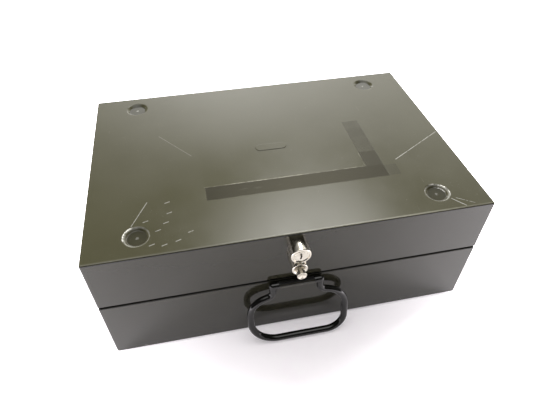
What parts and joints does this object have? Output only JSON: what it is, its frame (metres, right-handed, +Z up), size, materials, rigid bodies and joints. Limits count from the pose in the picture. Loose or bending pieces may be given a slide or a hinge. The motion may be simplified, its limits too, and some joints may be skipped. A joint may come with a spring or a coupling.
{
  "type": "cash box",
  "caption": "Flat steel cash box with a hinged lid that closes over an inner rim, a keyed push lock and a wire bail handle on the front, and stacking dimples in the lid.",
  "frame": {"origin": "middle of the whole outline seen from above, on the table under the feet, with the handle at rest", "axes": "+X to the right seen from the front, +Y to the hinges at the back, +Z up"},
  "size_m": [0.4, 0.3004, 0.1535],
  "materials": {
    "body_paint": "grey-olive baked enamel, semi-gloss, worn at the edges",
    "foot_paint": "grey-olive baked enamel, scuffed",
    "black_enamel": "glossy black enamel",
    "nickel_plate": "bright nickel plate with fine scratches",
    "zinc_steel": "zinc-plated steel",
    "brass": "plain brass",
    "spring_steel": "bright spring wire"
  },
  "bodies": {
    "base": {"base_shell": "body_paint", "rim_frame": "body_paint", "foot_front_left": "foot_paint", "foot_front_right": "foot_paint", "foot_back_left": "foot_paint", "foot_back_right": "foot_paint", "foot_rivets": "zinc_steel", "strike_bracket": "zinc_steel", "strike_rivets": "zinc_steel", "handle_bracket": "body_paint", "hinge_base_leaf_left": "body_paint", "hinge_base_leaf_right": "body_paint", "hinge_base_rivets": "body_paint", "hinge_pin_left": "zinc_steel", "hinge_pin_right": "zinc_steel"},
    "lid": {"lid_shell": "body_paint", "hinge_lid_leaf_left": "body_paint", "hinge_lid_leaf_right": "body_paint", "hinge_lid_rivets": "body_paint", "lock_housing": "nickel_plate", "lock_bridge": "zinc_steel", "lock_screws": "zinc_steel", "slide_guides": "zinc_steel", "button_bush": "nickel_plate", "button_spring": "spring_steel"},
    "handle": {"handle_bail": "black_enamel"},
    "plug": {"lock_plug": "nickel_plate", "plug_wafers": "brass", "plug_clip": "zinc_steel"},
    "slide": {"lock_slide": "zinc_steel"},
    "button": {"push_button": "nickel_plate", "lock_bolt": "zinc_steel"}
  },
  "joints": [
    {"name": "lid_hinge", "type": "hinge", "parent": "base", "child": "lid", "pos_m": [0, 0.1461, 0.087], "axis": [-1, 0, 0], "range_deg": [0, 105]},
    {"name": "handle_swing", "type": "hinge", "parent": "base", "child": "handle", "pos_m": [-0.0018, -0.1312, 0.0824], "axis": [-1, 0, 0], "range_deg": [-11.2, 165]},
    {"name": "key_turn", "type": "hinge", "parent": "lid", "child": "plug", "pos_m": [-0.0018, -0.1269, 0.1355], "axis": [0, 1, 0], "range_deg": [0, 90]},
    {"name": "slide_drop", "type": "slide", "parent": "lid", "child": "slide", "axis": [0, 0, -1], "range_m": [0, 0.00212]},
    {"name": "button_push", "type": "slide", "parent": "lid", "child": "button", "axis": [0, 1, 0], "range_m": [0, 0.0075], "stiffness_N_per_m": 600, "springref_m": -0.005, "deforming": ["button_spring"]}
  ],
  "couplings": [
    {"joint": "slide_drop", "follows": "key_turn", "m_per_rad": 0.0013505}
  ]
}
